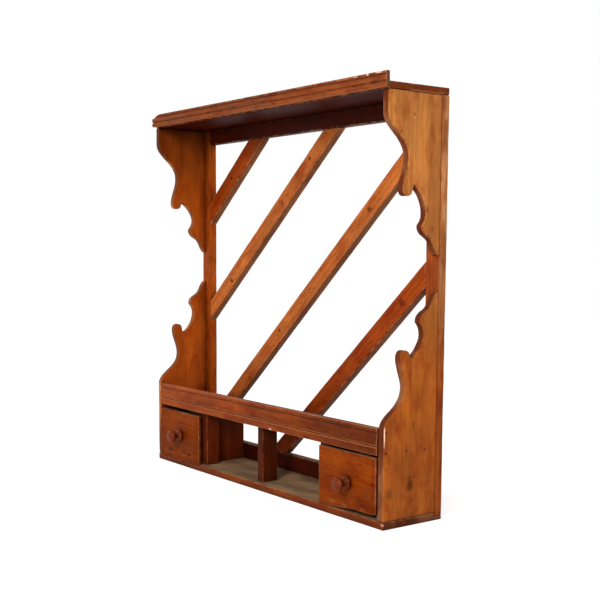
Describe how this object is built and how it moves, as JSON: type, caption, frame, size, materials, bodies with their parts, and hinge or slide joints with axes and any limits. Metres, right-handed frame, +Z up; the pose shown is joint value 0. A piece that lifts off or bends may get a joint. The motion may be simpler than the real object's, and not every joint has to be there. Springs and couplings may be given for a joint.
{
  "type": "plate rack",
  "caption": "Pine plate rack with scrolled sides, a moulded cornice, slanting back slats, a railed plate shelf and small drawers below it.",
  "frame": {"origin": "middle of the rack's box, on the surface that it stands on", "axes": "+X along the width, to the right seen from the front; -Y towards the front, where the drawers open; +Z up"},
  "size_m": [1.053, 0.2284, 1.04],
  "materials": {
    "waxed_pine": "satin wax over orange-brown stain",
    "dark_pine": "dark satin wax",
    "drawer_pine": "glossy wax",
    "bare_pine": "unfinished",
    "knob_wood": "polished",
    "iron": "dull, dark"
  },
  "bodies": {
    "carcass": {"bottom_board": "waxed_pine", "top_board": "dark_pine", "cornice_moulding": "waxed_pine", "left_stile": "waxed_pine", "right_stile": "waxed_pine", "top_back_rail": "dark_pine", "low_back_rail": "dark_pine", "upper_left_side_board": "waxed_pine", "lower_left_side_board": "waxed_pine", "upper_right_side_board": "waxed_pine", "lower_right_side_board": "waxed_pine", "diagonal_slat_1": "waxed_pine", "diagonal_slat_2": "waxed_pine", "diagonal_slat_3": "waxed_pine", "diagonal_slat_4": "waxed_pine", "front_rail": "waxed_pine", "plate_shelf": "dark_pine", "centre_post": "dark_pine", "left_divider": "dark_pine", "left_post": "dark_pine", "right_divider": "dark_pine", "right_post": "dark_pine", "left_rail_nail_upper": "iron", "left_rail_nail_lower": "iron", "left_shelf_nail_front": "iron", "left_shelf_nail_back": "iron", "left_top_nail_front": "iron", "left_top_nail_back": "iron", "left_bottom_nail_front": "iron", "left_bottom_nail_back": "iron", "right_rail_nail_upper": "iron", "right_rail_nail_lower": "iron", "right_shelf_nail_front": "iron", "right_shelf_nail_back": "iron", "right_top_nail_front": "iron", "right_top_nail_back": "iron", "right_bottom_nail_front": "iron", "right_bottom_nail_back": "iron"},
    "left_drawer": {"left_drawer_front": "drawer_pine", "left_drawer_outer_side": "bare_pine", "left_drawer_inner_side": "bare_pine", "left_drawer_back": "bare_pine", "left_drawer_bottom": "bare_pine", "left_drawer_knob": "knob_wood"},
    "right_drawer": {"right_drawer_front": "drawer_pine", "right_drawer_outer_side": "bare_pine", "right_drawer_inner_side": "bare_pine", "right_drawer_back": "bare_pine", "right_drawer_bottom": "bare_pine", "right_drawer_knob": "knob_wood"}
  },
  "joints": [
    {"name": "left_drawer_slide", "type": "slide", "parent": "carcass", "child": "left_drawer", "axis": [0, -1, 0], "range_m": [0, 0.12]},
    {"name": "right_drawer_slide", "type": "slide", "parent": "carcass", "child": "right_drawer", "axis": [0, -1, 0], "range_m": [0, 0.12]}
  ]
}
